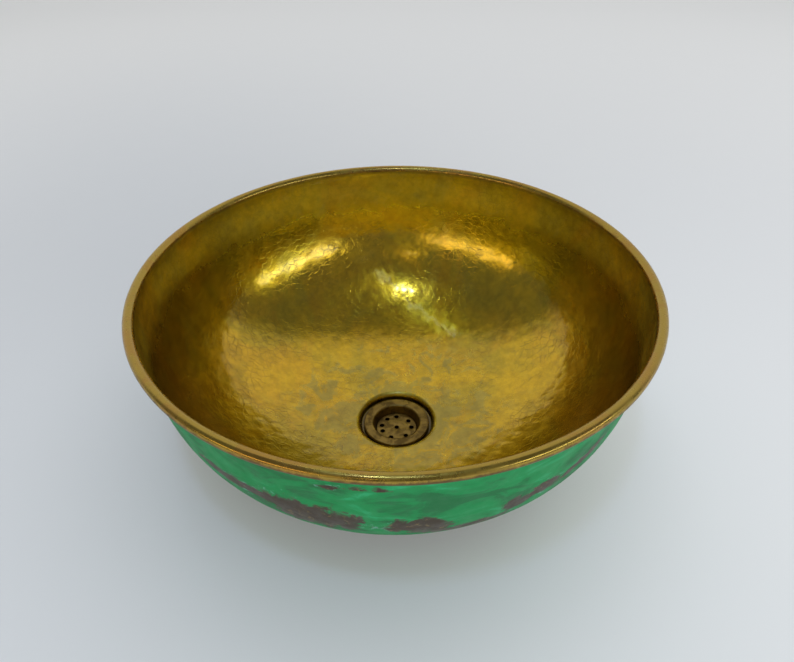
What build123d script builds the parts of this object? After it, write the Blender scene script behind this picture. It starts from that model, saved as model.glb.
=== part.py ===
"""Hammered brass basin with its grid waste, ready to stand on a countertop.

The bowl is one raised sheet with its rim rolled over a steel wire and a stamped
recess at the centre. A turned waste sits in the recess on a seal and carries a
loose drilled strainer. Its threaded shank goes down through the countertop,
where a lock nut pulls a rubber washer up against the underside. A flanged
tailpiece hangs from the shank's end in its own coupling nut.

Millimetres. +Z is up along the bowl's axis and z = 0 is the countertop.
"""

from build123d import *
from math import acos, asin, cos, pi, sin
import os

os.makedirs("parts", exist_ok=True)

# Bowl
rim_diameter = 406.0  # over the rolled rim
body_depth = 150.7  # from the rim wire's centre down to the underside of the floor
body_fullness = 2.49  # exponent of the wall's superellipse, 2 being a plain ellipse
sheet = 1.2
wire_diameter = 5.4
wire_slack = 0.1  # between the wire and the sheet rolled over it
neck_step = 5.8  # from the rim wire's centre in to the outside of the wall
neck_height = 9.0  # over which the wall opens out to the rim
roll_sweep = 312.0  # degrees of the wire that the sheet covers
wall_spans = 9  # spans of the curve through the wall

# Stamped recess for the waste
recess_depth = 7.5  # floor's underside to the recess's underside, before the floor's own rise
recess_clearance = 3.3  # radial, the waste's flange inside the recess
recess_foot_bend = 3.0
recess_lip_bend = 1.3

# Waste
shank_thread_diameter = 41.91  # G 1 1/4 pipe thread, outside
shank_wall = 3.955
shank_length = 66.7  # below the flange
shank_chamfer = 1.2
flange_lap = 8.345  # from the shank's outside to the flange's edge
flange_thickness = 2.5
flange_edge = 1.1
ledge_width = 1.4  # under the strainer
ledge_drop = 9.6  # flange's top to the ledge
dish_draft = 0.7  # how far the dish opens out from the ledge to the flange
dish_lip = 2.0  # radius of the rounded lip round the dish

# Strainer
strainer_clearance = 0.35  # radial, at the ledge
strainer_thickness = 2.0
strainer_edge = 0.4
grid_hole = 3.9
grid_margin = 4.55  # strainer's edge to the ring of holes
grid_angles = (36, 90, 129, 170, 200, 248, 308, 359)  # drilled by eye, degrees

# Seals and washers
rest_thickness = 2.0
rest_clearance = 1.545  # radial, round the shank
seal_thickness = 1.5
seal_inset = 0.8  # from the flange's edge
shank_clearance = 0.25  # radial, seals, washers and sheet round the shank
washer_lap = 9.045  # from the shank's outside to the washers' edge
rubber_washer_thickness = 5.0
rubber_washer_taper = 2.0
slip_washer_thickness = 1.5
tail_washer_thickness = 2.0
tail_washer_inset = 0.6  # from the shank's outside

# Nuts
counter_thickness = 20.0  # the countertop that the nut grips at rest
thread_clearance = 0.05  # radial
lock_nut_wall = 3.995  # at the flats
lock_nut_thickness = 9.0
collar_thickness = 2.0
collar_margin = 0.6  # past the hexagon's corners
coupling_wall = 2.995  # at the flats
coupling_overlap = 13.0  # length of shank inside the coupling nut
coupling_floor = 3.0
nut_chamfer_drop = 1.6

# Tailpiece
tail_diameter = 31.75  # 1 1/4 in tube
tail_wall = 1.0
tail_length = 73.0
tail_flange_inset = 1.155  # from the shank's outside
tail_flange_thickness = 1.5
tail_neck = 0.4  # radial, how much thicker the tube is through the coupling nut's floor
tail_neck_length = 0.5  # of that below the nut
tail_clearance = 0.3  # radial, neck in the coupling nut's floor
tail_chamfer = 0.4

# Radii
shank_radius = shank_thread_diameter / 2
shank_bore_radius = shank_radius - shank_wall
shank_hole_radius = shank_radius + shank_clearance
nut_bore_radius = shank_radius + thread_clearance
flange_radius = shank_radius + flange_lap
seat_radius = shank_bore_radius + ledge_width
dish_radius = seat_radius + dish_draft
strainer_radius = seat_radius - strainer_clearance
washer_radius = shank_radius + washer_lap
recess_radius = flange_radius + recess_clearance + sheet
recess_lip_radius = recess_radius + recess_lip_bend
recess_foot_radius = recess_radius - recess_foot_bend
roll_radius = wire_diameter / 2 + wire_slack
wire_ring_radius = rim_diameter / 2 - roll_radius - sheet
wall_radius = wire_ring_radius - neck_step
tail_neck_radius = tail_diameter / 2 + tail_neck

# Levels, upwards from the countertop
recess_underside = rest_thickness
body_underside = recess_underside + recess_depth - recess_lip_bend / 2
rim_level = body_underside + body_depth
seal_underside = recess_underside + sheet
flange_underside = seal_underside + seal_thickness
flange_top = flange_underside + flange_thickness
ledge = flange_top - ledge_drop
shank_end = flange_underside - shank_length


def wall_turn(radius=None, level=None):
    """How far round the wall, from the rim plane at 0 to the axis at 90 degrees, a place is."""
    if radius is not None:
        return acos((radius / wall_radius) ** (body_fullness / 2))
    return asin(((rim_level - level) / body_depth) ** (body_fullness / 2))


def wall_point(turn, depth):
    """A point this deep in the sheet, under the wall's outside at this turn."""
    radius = wall_radius * cos(turn) ** (2 / body_fullness)
    drop = body_depth * sin(turn) ** (2 / body_fullness)
    outward = Vector(
        (radius / wall_radius) ** (body_fullness - 1) / wall_radius,
        -((drop / body_depth) ** (body_fullness - 1)) / body_depth,
    ).normalized()
    return Vector(radius, rim_level - drop) - outward * depth


# Bowl: the sheet's section, out along its underside and back along its inside
floor_turn = wall_turn(radius=recess_lip_radius)
neck_turn = wall_turn(level=rim_level - neck_height)
wall_turns = [
    floor_turn + (neck_turn - floor_turn) * span / wall_spans for span in range(wall_spans + 1)
]
floor_level = wall_point(floor_turn, 0).Y
neck_pull = Vector(0, neck_height / 2)
neck_head = Vector(wire_ring_radius - roll_radius, rim_level)
inside_neck_head = neck_head - Vector(sheet, 0)
recess_foot_centre = Vector(recess_foot_radius, recess_underside + recess_foot_bend)
recess_lip_centre = Vector(recess_lip_radius, floor_level - recess_lip_bend)

with BuildPart() as basin_shell:
    with BuildSketch(Plane.XZ):
        with BuildLine():
            foot = CenterArc(recess_foot_centre, recess_foot_bend, 270, 90)
            lip = CenterArc(recess_lip_centre, recess_lip_bend, 180, -90)
            wall = Spline(*[wall_point(turn, 0) for turn in wall_turns], tangents=[(1, 0), (0, 1)])
            Bezier(wall @ 1, (wall @ 1) + neck_pull, neck_head - neck_pull, neck_head)
            roll = CenterArc((wire_ring_radius, rim_level), roll_radius, 180, -roll_sweep)
            Line(foot @ 1, lip @ 0)

            inside_foot = CenterArc(recess_foot_centre, recess_foot_bend - sheet, 270, 90)
            inside_lip = CenterArc(recess_lip_centre, recess_lip_bend + sheet, 180, -90)
            inside_points = [wall_point(turn, sheet) for turn in wall_turns[1:]]
            inside = Spline(inside_lip @ 1, *inside_points, tangents=[(1, 0), (0, 1)])
            Bezier(
                inside @ 1,
                (inside @ 1) + neck_pull,
                inside_neck_head - neck_pull,
                inside_neck_head,
            )
            outer_roll = CenterArc(
                (wire_ring_radius, rim_level), roll_radius + sheet, 180, -roll_sweep
            )
            Line(inside_foot @ 1, inside_lip @ 0)

            Line(roll @ 1, outer_roll @ 1)
            Polyline(
                inside_foot @ 0,
                (shank_hole_radius, seal_underside),
                (shank_hole_radius, recess_underside),
                foot @ 0,
            )
        make_face()
    revolve(axis=Axis.Z)
basin_shell.part.label = "basin_shell"

with BuildPart() as rim_wire:
    with BuildSketch(Plane.XZ):
        with Locations((wire_ring_radius, rim_level)):
            Circle(wire_diameter / 2)
    revolve(axis=Axis.Z)
rim_wire.part.label = "rim_wire"

# Waste: flange, dish, ledge and shank in one turning
with BuildPart() as waste_body:
    with BuildSketch(Plane.XZ):
        with BuildLine():
            Polyline(
                (shank_radius, flange_underside),
                (flange_radius, flange_underside),
                (flange_radius, flange_top),
                (dish_radius, flange_top),
                (seat_radius, ledge),
                (shank_bore_radius, ledge),
                (shank_bore_radius, shank_end),
                (shank_radius - shank_chamfer, shank_end),
                (shank_radius, shank_end + shank_chamfer),
                close=True,
            )
        make_face()
        flange_rim = (flange_radius, flange_top)
        dish_mouth = (dish_radius, flange_top)
        fillet(vertices().sort_by_distance(flange_rim)[0], radius=flange_edge)
        fillet(vertices().sort_by_distance(dish_mouth)[0], radius=dish_lip)
    revolve(axis=Axis.Z)
waste_body.part.label = "waste_body"

with BuildPart() as strainer_plate:
    with BuildSketch(Plane.XY.offset(ledge)):
        Circle(strainer_radius)
    extrude(amount=strainer_thickness)
    chamfer(strainer_plate.edges().group_by(Axis.Z)[-1], length=strainer_edge)
    with Locations((0, 0, ledge)):
        Hole(grid_hole / 2)
        for angle in grid_angles:
            with PolarLocations(strainer_radius - grid_margin, 1, start_angle=angle):
                Hole(grid_hole / 2)
strainer_plate.part.label = "strainer_plate"


def ring(level, thickness, inner_radius, outer_radius):
    """A flat ring that stands on this level."""
    with BuildPart() as flat_ring:
        with BuildSketch(Plane.XY.offset(level)):
            Circle(outer_radius)
            Circle(inner_radius, mode=Mode.SUBTRACT)
        extrude(amount=thickness)
    return flat_ring.part


# Seals and washers
rest_gasket = ring(0, rest_thickness, shank_radius + rest_clearance, recess_foot_radius)
rest_gasket.label = "rest_gasket"

flange_seal = ring(seal_underside, seal_thickness, shank_hole_radius, flange_radius - seal_inset)
flange_seal.label = "flange_seal"

washer_top = -counter_thickness
washer_underside = washer_top - rubber_washer_thickness
with BuildPart() as counter_washer:
    add(ring(washer_underside, rubber_washer_thickness, shank_hole_radius, washer_radius))
    top_edges = counter_washer.edges().group_by(Axis.Z)[-1]
    chamfer(top_edges.sort_by(SortBy.RADIUS)[-1], length=rubber_washer_taper)
counter_washer.part.label = "counter_washer"

slip_underside = washer_underside - slip_washer_thickness
slip_washer = ring(slip_underside, slip_washer_thickness, shank_hole_radius, washer_radius)
slip_washer.label = "slip_washer"

tail_washer_underside = shank_end - tail_washer_thickness
tail_washer = ring(
    tail_washer_underside,
    tail_washer_thickness,
    shank_bore_radius,
    shank_radius - tail_washer_inset,
)
tail_washer.label = "tail_washer"


def hexagon_blank(top, bottom, flat_radius):
    """A hexagonal bar between two levels, its corners turned off at both ends."""
    corner_radius = flat_radius / cos(pi / 6)
    with BuildPart() as blank:
        with BuildSketch(Plane.XY.offset(bottom)):
            RegularPolygon(flat_radius, 6, major_radius=False)
        extrude(amount=top - bottom)
        with BuildSketch(Plane.XZ):
            with BuildLine():
                Polyline(
                    (0, bottom),
                    (flat_radius, bottom),
                    (corner_radius, bottom + nut_chamfer_drop),
                    (corner_radius, top - nut_chamfer_drop),
                    (flat_radius, top),
                    (0, top),
                    close=True,
                )
            make_face()
        revolve(axis=Axis.Z, mode=Mode.INTERSECT)
    return blank.part


# Nuts
lock_nut_top = slip_underside
lock_nut_underside = lock_nut_top - lock_nut_thickness
lock_nut_flat = nut_bore_radius + lock_nut_wall
with BuildPart() as lock_nut:
    add(hexagon_blank(lock_nut_top, lock_nut_underside, lock_nut_flat))
    with BuildSketch(Plane.XY.offset(lock_nut_top - collar_thickness)):
        Circle(lock_nut_flat / cos(pi / 6) + collar_margin)
    extrude(amount=collar_thickness)
    with Locations((0, 0, lock_nut_top)):
        Hole(nut_bore_radius)
lock_nut.part.label = "lock_nut"

coupling_top = shank_end + coupling_overlap
coupling_shoulder = tail_washer_underside - tail_flange_thickness
coupling_underside = coupling_shoulder - coupling_floor
with BuildPart() as coupling_nut:
    add(hexagon_blank(coupling_top, coupling_underside, nut_bore_radius + coupling_wall))
    with BuildSketch(Plane.XY.offset(coupling_shoulder)):
        Circle(nut_bore_radius)
    extrude(amount=coupling_top - coupling_shoulder, mode=Mode.SUBTRACT)
    with Locations((0, 0, coupling_shoulder)):
        Hole(tail_neck_radius + tail_clearance)
coupling_nut.part.label = "coupling_nut"

# Tailpiece
tail_end = tail_washer_underside - tail_length
tail_bore_radius = tail_diameter / 2 - tail_wall
with BuildPart() as tailpiece:
    with BuildSketch(Plane.XY.offset(coupling_shoulder)):
        Circle(shank_radius - tail_flange_inset)
    extrude(amount=tail_flange_thickness)
    with BuildSketch(Plane.XY.offset(coupling_underside - tail_neck_length)):
        Circle(tail_neck_radius)
    extrude(amount=coupling_floor + tail_neck_length)
    with BuildSketch(Plane.XY.offset(tail_end)):
        Circle(tail_diameter / 2)
    extrude(amount=tail_length)
    with Locations((0, 0, tail_washer_underside)):
        Hole(tail_bore_radius)
    chamfer(tailpiece.edges().group_by(Axis.Z)[0].sort_by(SortBy.RADIUS)[-1], length=tail_chamfer)
tailpiece.part.label = "tailpiece"

pieces = [
    basin_shell.part,
    rim_wire.part,
    waste_body.part,
    strainer_plate.part,
    rest_gasket,
    flange_seal,
    counter_washer.part,
    slip_washer,
    tail_washer,
    lock_nut.part,
    coupling_nut.part,
    tailpiece.part,
]
for piece in pieces:
    export_step(piece, f"parts/{piece.label}.step")
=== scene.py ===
"""Looks of a hammered brass basin and its grid waste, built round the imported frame.

Each sub-assembly is a class with its sizes in millimetres, and each finish is a
frozen dataclass that makes its own material. Meshes are in metres, in the frame's
own place: +Z is up along the bowl's axis and z = 0 is the countertop.
"""

import logging
import random
from dataclasses import dataclass
from enum import Enum, IntEnum
from math import acos, asin, ceil, cos, hypot, pi, radians, sin, tau

import bpy
import numpy as np
from mathutils import Matrix, Vector
from mathutils.geometry import delaunay_2d_cdt


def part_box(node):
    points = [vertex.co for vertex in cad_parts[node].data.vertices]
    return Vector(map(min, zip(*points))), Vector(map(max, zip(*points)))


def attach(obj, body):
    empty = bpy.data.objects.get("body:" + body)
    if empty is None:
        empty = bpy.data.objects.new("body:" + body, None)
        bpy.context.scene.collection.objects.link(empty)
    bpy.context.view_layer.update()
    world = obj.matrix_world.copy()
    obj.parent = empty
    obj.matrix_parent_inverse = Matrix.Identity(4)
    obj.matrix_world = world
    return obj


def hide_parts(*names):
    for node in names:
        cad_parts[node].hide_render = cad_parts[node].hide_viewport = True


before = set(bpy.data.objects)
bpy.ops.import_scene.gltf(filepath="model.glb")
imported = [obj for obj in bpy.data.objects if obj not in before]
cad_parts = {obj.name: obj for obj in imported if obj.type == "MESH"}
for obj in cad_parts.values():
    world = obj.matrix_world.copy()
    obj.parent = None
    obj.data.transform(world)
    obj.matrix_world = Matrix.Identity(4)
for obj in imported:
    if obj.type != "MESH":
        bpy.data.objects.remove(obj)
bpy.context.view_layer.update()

logging.basicConfig(level=logging.INFO, format="%(levelname)s %(message)s")
log = logging.getLogger("basin")

Point = tuple[float, float]
Triple = tuple[float, float, float]
Colour = tuple[float, float, float]
Socket = bpy.types.NodeSocket
Number = float | Socket
Vectored = Triple | Socket

MM = 0.001
RIM_LEVEL = 159.55  # the rolled edge's centre, in millimetres over the countertop
SHANK_HOLE = 21.205  # radius of a hole for the shank, in millimetres
NOISE_LOW, NOISE_HIGH = 0.3, 0.7  # a noise's values lie between them


class Part(str, Enum):
    """The frame's bodies, by the name of what they hold."""

    BASIN = "basin"
    STRAINER = "strainer"
    WASHERS = "clamp_washers"
    NUT = "clamp_nut"


class Slot(str, Enum):
    """The record's material slots."""

    BRASS = "hammered_brass"
    STEEL = "rim_wire_steel"
    ANTIQUE = "antique_brass"
    TURNED = "turned_brass"
    RUBBER = "black_rubber"
    NYLON = "white_nylon"


class Skin(IntEnum):
    """The three finishes on the one sheet of the bowl."""

    INSIDE = 0
    RIM = 1
    OUTSIDE = 2


# ---------------------------------------------------------------- node trees


class Bench:
    """Places and joins the nodes of one tree."""

    def __init__(self, tree: bpy.types.NodeTree) -> None:
        """Keeps the tree.

        Args:
            tree: The shader or geometry tree to work on.
        """
        self.tree = tree
        self.count = 0

    def place(self, kind: str, inputs: dict | None = None, **settings: object) -> bpy.types.Node:
        """Adds one node.

        Args:
            kind: The node's type name.
            inputs: Values or output sockets, by the input's name or number.
            settings: The node's own properties, set before its inputs.

        Returns:
            The new node.
        """
        node = self.tree.nodes.new(kind)
        node.location = (self.count % 12 * 190, -(self.count // 12) * 260)
        self.count += 1
        for name, value in settings.items():
            setattr(node, name, value)
        for name, value in (inputs or {}).items():
            if isinstance(value, bpy.types.NodeSocket):
                self.tree.links.new(value, node.inputs[name])
            else:
                node.inputs[name].default_value = value
        return node

    def maths(
        self,
        operation: str,
        first: Number,
        second: Number = 0.0,
        third: Number = 0.0,
        clamp: bool = False,
    ) -> Socket:
        """One sum on numbers.

        Args:
            operation: The Math node's operation.
            first: First value or socket.
            second: Second value or socket.
            third: Third value or socket, where the operation has one.
            clamp: Whether the result is kept between 0 and 1.

        Returns:
            The result's socket.
        """
        inputs = {0: first, 1: second, 2: third}
        return self.place("ShaderNodeMath", inputs, operation=operation, use_clamp=clamp).outputs[0]

    def times(self, first: Number, second: Number, clamp: bool = False) -> Socket:
        """One number times another."""
        return self.maths("MULTIPLY", first, second, clamp=clamp)

    def plus(self, first: Number, second: Number) -> Socket:
        """One number and another."""
        return self.maths("ADD", first, second)

    def less(self, first: Number, second: Number) -> Socket:
        """One number less another."""
        return self.maths("SUBTRACT", first, second)

    def along(
        self,
        operation: str,
        first: Vectored,
        second: Vectored = (0.0, 0.0, 0.0),
        scale: Number = 1.0,
    ) -> Socket:
        """One sum on vectors.

        Args:
            operation: The Vector Math node's operation.
            first: First vector or socket.
            second: Second vector or socket.
            scale: Number or socket for the operations that scale.

        Returns:
            The vector's socket, or the number's for a length, distance or dot product.
        """
        inputs = {0: first, 1: second}
        if operation == "SCALE":
            inputs = {0: first, "Scale": scale}
        node = self.place("ShaderNodeVectorMath", inputs, operation=operation)
        number = operation in ("LENGTH", "DISTANCE", "DOT_PRODUCT")
        return node.outputs[1 if number else 0]

    def noise(
        self,
        vector: Socket,
        size: float,
        detail: float = 3.0,
        rough: float = 0.55,
        bend: float = 0.0,
    ) -> Socket:
        """Soft noise between about 0.3 and 0.7.

        Args:
            vector: Where it is read, a socket in metres.
            size: Its grain in millimetres.
            detail: Octaves.
            rough: How strong the finer octaves are.
            bend: Distortion.

        Returns:
            The socket of its value.
        """
        inputs = {
            "Vector": vector,
            "Scale": 1 / (size * MM),
            "Detail": detail,
            "Roughness": rough,
            "Distortion": bend,
        }
        return self.place("ShaderNodeTexNoise", inputs).outputs[0]

    def vary(
        self,
        vector: Socket,
        size: float,
        low: float,
        high: float,
        detail: float = 4.0,
        rough: float = 0.6,
    ) -> Socket:
        """A number that noise carries between two ends.

        Args:
            vector: Where the noise is read, a socket in metres.
            size: Its grain in millimetres.
            low: The lower end.
            high: The upper end.
            detail: Octaves.
            rough: How strong the finer octaves are.

        Returns:
            The number's socket.
        """
        return self.span(self.noise(vector, size, detail, rough), NOISE_LOW, NOISE_HIGH, low, high)

    def jitter(self, vector: Socket, size: float, reach: float, detail: float = 2.0) -> Socket:
        """A place moved about by noise.

        Args:
            vector: The place, a socket in metres.
            size: The noise's grain in millimetres.
            reach: How far it moves, in millimetres.
            detail: Octaves.

        Returns:
            The moved place's socket.
        """
        inputs = {"Vector": vector, "Scale": 1 / (size * MM), "Detail": detail}
        colour = self.place("ShaderNodeTexNoise", inputs).outputs[1]
        centred = self.along("SUBTRACT", colour, (0.5, 0.5, 0.5))
        return self.along("ADD", vector, self.along("SCALE", centred, scale=2 * reach * MM))

    def cells(self, vector: Socket, size: float, feature: str = "F1") -> Socket:
        """Distance in a field of cells, 0 at each centre.

        Args:
            vector: Where it is read, a socket in metres.
            size: The cells' pitch in millimetres.
            feature: The Voronoi node's feature.

        Returns:
            The distance's socket, in cells.
        """
        inputs = {"Vector": vector, "Scale": 1 / (size * MM)}
        return self.place("ShaderNodeTexVoronoi", inputs, feature=feature).outputs["Distance"]

    def span(
        self, value: Number, low: float, high: float, out_low: float = 0.0, out_high: float = 1.0
    ) -> Socket:
        """A value carried softly from one range to another, and held at its ends.

        Args:
            value: The value's socket.
            low: Where the range starts.
            high: Where it ends.
            out_low: What it gives at the start.
            out_high: What it gives at the end.

        Returns:
            The result's socket.
        """
        inputs = {0: value, 1: low, 2: high, 3: out_low, 4: out_high}
        return self.place("ShaderNodeMapRange", inputs, interpolation_type="SMOOTHSTEP").outputs[0]

    def tint(
        self, share: Number, first: Vectored, second: Vectored, blend: str = "MIX"
    ) -> Socket:
        """Two colours in one.

        Args:
            share: How much of the second, a number or socket.
            first: First colour, as three numbers or a socket.
            second: Second colour, as three numbers or a socket.
            blend: The Mix node's blend type.

        Returns:
            The colour's socket.
        """
        pair = [c if isinstance(c, bpy.types.NodeSocket) else (*c, 1.0) for c in (first, second)]
        inputs = {0: share, 6: pair[0], 7: pair[1]}
        return self.place("ShaderNodeMix", inputs, data_type="RGBA", blend_type=blend).outputs[2]

    def shade(self, colour: Socket, tone: Socket) -> Socket:
        """A colour times a grey.

        Args:
            colour: The colour.
            tone: The grey, 1 for no change.

        Returns:
            The colour's socket.
        """
        grey = self.place("ShaderNodeCombineXYZ", {0: tone, 1: tone, 2: tone}).outputs[0]
        return self.tint(1.0, colour, grey, "MULTIPLY")

    def relief(self, height: Socket, depth: float, under: Socket | None = None) -> Socket:
        """Bump from a height.

        Args:
            height: The height's socket, from 0 to 1.
            depth: The full height in millimetres.
            under: Normal socket of a bump below this one.

        Returns:
            The normal's socket.
        """
        inputs = {"Strength": 1.0, "Distance": depth * MM, "Height": height}
        if under is not None:
            inputs["Normal"] = under
        return self.place("ShaderNodeBump", inputs).outputs[0]


class MaterialBench(Bench):
    """The bench of one new material, with its shader and its common measures."""

    def __init__(self, name: str) -> None:
        """Makes the material.

        Args:
            name: The material's name.
        """
        self.material = bpy.data.materials.new(name)
        self.material.use_nodes = True
        super().__init__(self.material.node_tree)
        self.tree.nodes.clear()
        self.place_of = self.place("ShaderNodeTexCoord").outputs["Object"]
        self.shader = self.place("ShaderNodeBsdfPrincipled")
        self.output = self.place("ShaderNodeOutputMaterial", {0: self.shader.outputs[0]})

    def radius(self) -> Socket:
        """Socket of the distance from the bowl's axis, in metres."""
        return self.along("LENGTH", self.along("MULTIPLY", self.place_of, (1.0, 1.0, 0.0)))

    def height(self) -> Socket:
        """Socket of the height over the countertop, in metres."""
        return self.place("ShaderNodeSeparateXYZ", {0: self.place_of}).outputs[2]

    def dress(
        self, colour: Socket, rough: Number, normal: Socket | None = None, metallic: Number = 1.0
    ) -> bpy.types.Material:
        """Joins the results to the shader.

        Args:
            colour: Base colour's socket.
            rough: Roughness's socket or number.
            normal: Normal's socket.
            metallic: Socket or number.

        Returns:
            The finished material.
        """
        wanted = {"Base Color": colour, "Roughness": rough, "Metallic": metallic}
        if normal is not None:
            wanted["Normal"] = normal
        for name, value in wanted.items():
            if isinstance(value, bpy.types.NodeSocket):
                self.tree.links.new(value, self.shader.inputs[name])
            else:
                self.shader.inputs[name].default_value = value
        return self.material

    def clear_below(self) -> bpy.types.Material:
        """Makes the material clear where it is seen from its back.

        Returns:
            The finished material.
        """
        clear = self.place("ShaderNodeBsdfTransparent").outputs[0]
        back = self.place("ShaderNodeNewGeometry").outputs["Backfacing"]
        inputs = {0: back, 1: self.shader.outputs[0], 2: clear}
        both = self.place("ShaderNodeMixShader", inputs).outputs[0]
        self.tree.links.new(both, self.output.inputs[0])
        return self.material


class ShapeTree(Bench):
    """The bench of one new geometry tree with named inputs."""

    def __init__(self, name: str) -> None:
        """Makes the tree with its geometry in and out.

        Args:
            name: The tree's name.
        """
        tree = bpy.data.node_groups.new(name, "GeometryNodeTree")
        tree.interface.new_socket("Geometry", in_out="OUTPUT", socket_type="NodeSocketGeometry")
        tree.interface.new_socket("Geometry", in_out="INPUT", socket_type="NodeSocketGeometry")
        super().__init__(tree)
        self.source = self.place("NodeGroupInput")
        self.sink = self.place("NodeGroupOutput")

    def ask(self, name: str, kind: str, default: float | None = None) -> Socket:
        """Adds a named input.

        Args:
            name: The input's name.
            kind: Its socket's short type, such as Float, Int or Material.
            default: Its default value.

        Returns:
            The input's socket inside the tree.
        """
        kind = f"NodeSocket{kind}"
        made = self.tree.interface.new_socket(name, in_out="INPUT", socket_type=kind)
        if default is not None:
            made.default_value = default
        return self.source.outputs[name]

    def read(self, name: str, kind: str = "FLOAT") -> Socket:
        """Reads one of the mesh's attributes.

        Args:
            name: The attribute's name.
            kind: Its data type.

        Returns:
            The attribute's socket.
        """
        inputs = {"Name": name}
        return self.place("GeometryNodeInputNamedAttribute", inputs, data_type=kind).outputs[0]

    def close(self, geometry: Socket, materials: dict) -> bpy.types.NodeTree:
        """Ends the tree in realised instances and set materials.

        Args:
            geometry: The last geometry socket.
            materials: Material sockets, each by its selection's socket or None for all.

        Returns:
            The finished tree.
        """
        last = self.place("GeometryNodeRealizeInstances", {0: geometry}).outputs[0]
        for selection, material in materials.items():
            inputs = {"Geometry": last, "Material": material}
            if selection is not None:
                inputs["Selection"] = selection
            last = self.place("GeometryNodeSetMaterial", inputs).outputs[0]
        self.tree.links.new(last, self.sink.inputs[0])
        return self.tree


def settle(piece: bpy.types.Object, tree: bpy.types.NodeTree, values: dict) -> bpy.types.Object:
    """Runs a geometry tree on a piece and keeps the result as its plain mesh.

    Args:
        piece: The piece whose mesh goes in.
        tree: The geometry tree.
        values: The tree's input values, by the inputs' names.

    Returns:
        The same piece with its new mesh.
    """
    modifier = piece.modifiers.new(tree.name, "NODES")
    modifier.node_group = tree
    known = {s.name: s.identifier for s in tree.interface.items_tree if s.in_out == "INPUT"}
    for name, value in values.items():
        modifier[known[name]] = value
    graph = bpy.context.evaluated_depsgraph_get()
    mesh = bpy.data.meshes.new_from_object(piece.evaluated_get(graph), depsgraph=graph)
    piece.modifiers.remove(modifier)
    old = piece.data
    piece.data = mesh
    bpy.data.meshes.remove(old)
    mesh.name = piece.name
    while mesh.materials and mesh.materials[-1] is None:
        mesh.materials.pop()
    return piece


# ---------------------------------------------------------------- mesh helpers


def link(name: str, mesh: bpy.types.Mesh, *materials: bpy.types.Material) -> bpy.types.Object:
    """Puts a mesh in the scene as a piece.

    Args:
        name: The piece's name.
        mesh: Its mesh.
        materials: Its materials in the order of their slots.

    Returns:
        The new object, at the origin and unturned.
    """
    for material in materials:
        mesh.materials.append(material)
    piece = bpy.data.objects.new(name, mesh)
    bpy.context.scene.collection.objects.link(piece)
    return piece


def smooth(mesh: bpy.types.Mesh, sharp: float = 35.0) -> None:
    """Shades a mesh smooth but for its real corners.

    Args:
        mesh: The mesh.
        sharp: Angle in degrees from which an edge stays sharp.
    """
    mesh.polygons.foreach_set("use_smooth", [True] * len(mesh.polygons))
    mesh.set_sharp_from_angle(angle=radians(sharp))


def mesh_of(name: str, places: list[Triple], faces: list[tuple[int, ...]]) -> bpy.types.Mesh:
    """A mesh from its places and faces.

    Args:
        name: The mesh's name.
        places: Its points in metres.
        faces: Each face's points, by number.

    Returns:
        The new mesh.
    """
    mesh = bpy.data.meshes.new(name)
    mesh.from_pydata(places, [], faces)
    mesh.update()
    return mesh


def circle(centre: Point, radius: float, count: int) -> list[Point]:
    """Evenly spaced points round a circle.

    Args:
        centre: Its centre.
        radius: Its radius.
        count: How many points.

    Returns:
        The points, anticlockwise from +X.
    """
    angles = [k * tau / count for k in range(count)]
    return [(centre[0] + radius * cos(a), centre[1] + radius * sin(a)) for a in angles]


def rounded(corners: list[Triple], steps: int = 5) -> list[Point]:
    """A closed section with its corners rounded.

    Args:
        corners: Radius, height and fillet of each corner, in millimetres.
        steps: Points on each fillet.

    Returns:
        The section's points in the same turn.
    """
    points: list[Point] = []
    for index, (r, z, fillet) in enumerate(corners):
        here = Vector((r, z))
        before = Vector(corners[index - 1][:2]) - here
        after = Vector(corners[(index + 1) % len(corners)][:2]) - here
        if fillet <= 0 or before.length < 1e-9 or after.length < 1e-9:
            points.append((r, z))
            continue
        before.normalize()
        after.normalize()
        half = acos(max(-1.0, min(1.0, before.dot(after)))) / 2
        reach = fillet / np.tan(half)
        middle = here + (before + after).normalized() * (fillet / sin(half))
        start = here + before * reach - middle
        turn = start.angle_signed(here + after * reach - middle)
        for step in range(steps + 1):
            angle = -turn * step / steps
            point = middle + Matrix.Rotation(angle, 2) @ start
            points.append((point.x, point.y))
    return points


def turned(name: str, section: list[Point], around: int) -> bpy.types.Mesh:
    """A closed section turned round the axis.

    Args:
        name: The mesh's name.
        section: Points in millimetres, anticlockwise as radius against height.
        around: Faces round the axis.

    Returns:
        The mesh in metres, its faces outwards.
    """
    rings = np.array(section) * MM
    angle = np.arange(around) * tau / around
    place = np.empty((len(rings), around, 3))
    place[:, :, 0] = rings[:, None, 0] * np.cos(angle)
    place[:, :, 1] = rings[:, None, 0] * np.sin(angle)
    place[:, :, 2] = rings[:, None, 1]
    ring, step = np.meshgrid(np.arange(len(rings)), np.arange(around), indexing="ij")
    after, along = (ring + 1) % len(rings), (step + 1) % around
    corners = (ring, step), (ring, along), (after, along), (after, step)
    faces = np.stack([a * around + b for a, b in corners], -1).reshape(-1, 4)
    return mesh_of(name, place.reshape(-1, 3).tolist(), faces.tolist())


def fit(piece: bpy.types.Object, part: Part, node: str) -> None:
    """Puts a finished piece on its body, hides the CAD node it stands for, and reports it.

    Args:
        piece: The finished piece.
        part: The body it rides on.
        node: The CAD node it stands for.
    """
    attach(piece, part.value)
    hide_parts(node)
    log.info("%s: %d faces, rides on %s", piece.name, len(piece.data.polygons), part.value)


# ---------------------------------------------------------------- finishes


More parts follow.
